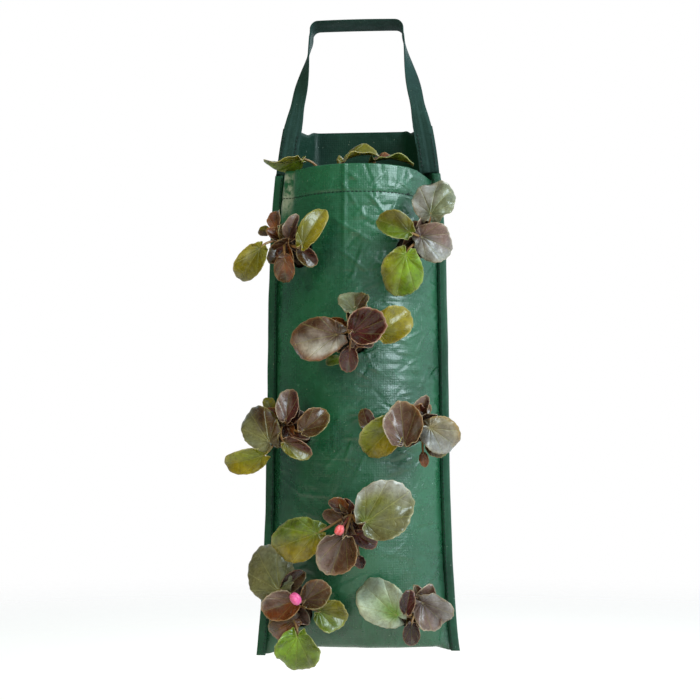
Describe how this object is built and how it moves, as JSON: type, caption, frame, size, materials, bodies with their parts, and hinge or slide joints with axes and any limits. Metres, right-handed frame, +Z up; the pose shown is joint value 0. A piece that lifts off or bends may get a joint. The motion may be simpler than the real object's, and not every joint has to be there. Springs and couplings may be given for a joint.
{
  "type": "hanging grow bag",
  "caption": "Hanging planting bag: a tall green cloth bag on a strap loop, filled with soil, with plants growing out of round holes in its front and of its open mouth.",
  "frame": {"origin": "on the underside of the strap's top run, midway between its two bends, where the bag hangs on its hook", "axes": "+Z up along the hanging bag, +X to the right as seen from the planted front, and the front faces -Y"},
  "size_m": [0.2481, 0.1879, 0.7037],
  "materials": {
    "cloth": "laminated woven polyethylene, glossy and crinkled",
    "strap": "folded woven polyethylene strap",
    "binding": "dark woven edge tape",
    "thread": "sewing thread",
    "soil": "moist potting mix",
    "root_plug": "potting mix bound by roots",
    "stem": "smooth fleshy stalk",
    "leaf": "waxy bronze and olive leaf",
    "bud": "soft pink bud"
  },
  "bodies": {
    "strap_loop": {"hanging_loop": "strap"},
    "bag": {"front_panel": "cloth", "back_panel": "cloth", "left_binding": "binding", "right_binding": "binding", "left_seam_thread": "thread", "right_seam_thread": "thread", "front_hem_thread": "thread", "left_strap_end": "strap", "right_strap_end": "strap", "left_strap_thread": "thread", "right_strap_thread": "thread", "soil_fill": "soil"},
    "plant_1": {"plant_1_plug": "root_plug", "plant_1_stem": "stem", "plant_1_leaves": "leaf"},
    "plant_2": {"plant_2_plug": "root_plug", "plant_2_stem": "stem", "plant_2_leaves": "leaf"},
    "plant_3": {"plant_3_plug": "root_plug", "plant_3_stem": "stem", "plant_3_leaves": "leaf"},
    "plant_4": {"plant_4_plug": "root_plug", "plant_4_stem": "stem", "plant_4_leaves": "leaf"},
    "plant_5": {"plant_5_plug": "root_plug", "plant_5_stem": "stem", "plant_5_leaves": "leaf"},
    "plant_6": {"plant_6_plug": "root_plug", "plant_6_stem": "stem", "plant_6_leaves": "leaf", "plant_6_flower_bud": "bud"},
    "plant_7": {"plant_7_plug": "root_plug", "plant_7_stem": "stem", "plant_7_leaves": "leaf", "plant_7_flower_bud": "bud"},
    "plant_8": {"plant_8_plug": "root_plug", "plant_8_stem": "stem", "plant_8_leaves": "leaf"},
    "plant_9": {"plant_9_plug": "root_plug", "plant_9_stem": "stem", "plant_9_leaves": "leaf"},
    "plant_10": {"plant_10_plug": "root_plug", "plant_10_stem": "stem", "plant_10_leaves": "leaf"}
  },
  "joints": [
    {"name": "bag_swing", "type": "hinge", "parent": "strap_loop", "child": "bag", "pos_m": [0, -0.001, -0.112], "axis": [1, 0, 0], "range_deg": [-90, 90]},
    {"name": "plant_1_lift_out", "type": "slide", "parent": "bag", "child": "plant_1", "axis": [-0.5855, -0.735, 0.342], "range_m": [0, 0.05]},
    {"name": "plant_2_lift_out", "type": "slide", "parent": "bag", "child": "plant_2", "axis": [0.5855, -0.735, 0.342], "range_m": [0, 0.05]},
    {"name": "plant_3_lift_out", "type": "slide", "parent": "bag", "child": "plant_3", "axis": [0, -0.9397, 0.342], "range_m": [0, 0.05]},
    {"name": "plant_4_lift_out", "type": "slide", "parent": "bag", "child": "plant_4", "axis": [-0.5614, -0.7535, 0.342], "range_m": [0, 0.05]},
    {"name": "plant_5_lift_out", "type": "slide", "parent": "bag", "child": "plant_5", "axis": [0.5614, -0.7535, 0.342], "range_m": [0, 0.05]},
    {"name": "plant_6_lift_out", "type": "slide", "parent": "bag", "child": "plant_6", "axis": [0, -0.9397, 0.342], "range_m": [0, 0.05]},
    {"name": "plant_7_lift_out", "type": "slide", "parent": "bag", "child": "plant_7", "axis": [-0.4991, -0.7962, 0.342], "range_m": [0, 0.05]},
    {"name": "plant_8_lift_out", "type": "slide", "parent": "bag", "child": "plant_8", "axis": [0.4991, -0.7962, 0.342], "range_m": [0, 0.05]},
    {"name": "plant_9_lift_out", "type": "slide", "parent": "bag", "child": "plant_9", "axis": [0, 0, 1], "range_m": [0, 0.05]},
    {"name": "plant_10_lift_out", "type": "slide", "parent": "bag", "child": "plant_10", "axis": [0, 0, 1], "range_m": [0, 0.05]}
  ]
}
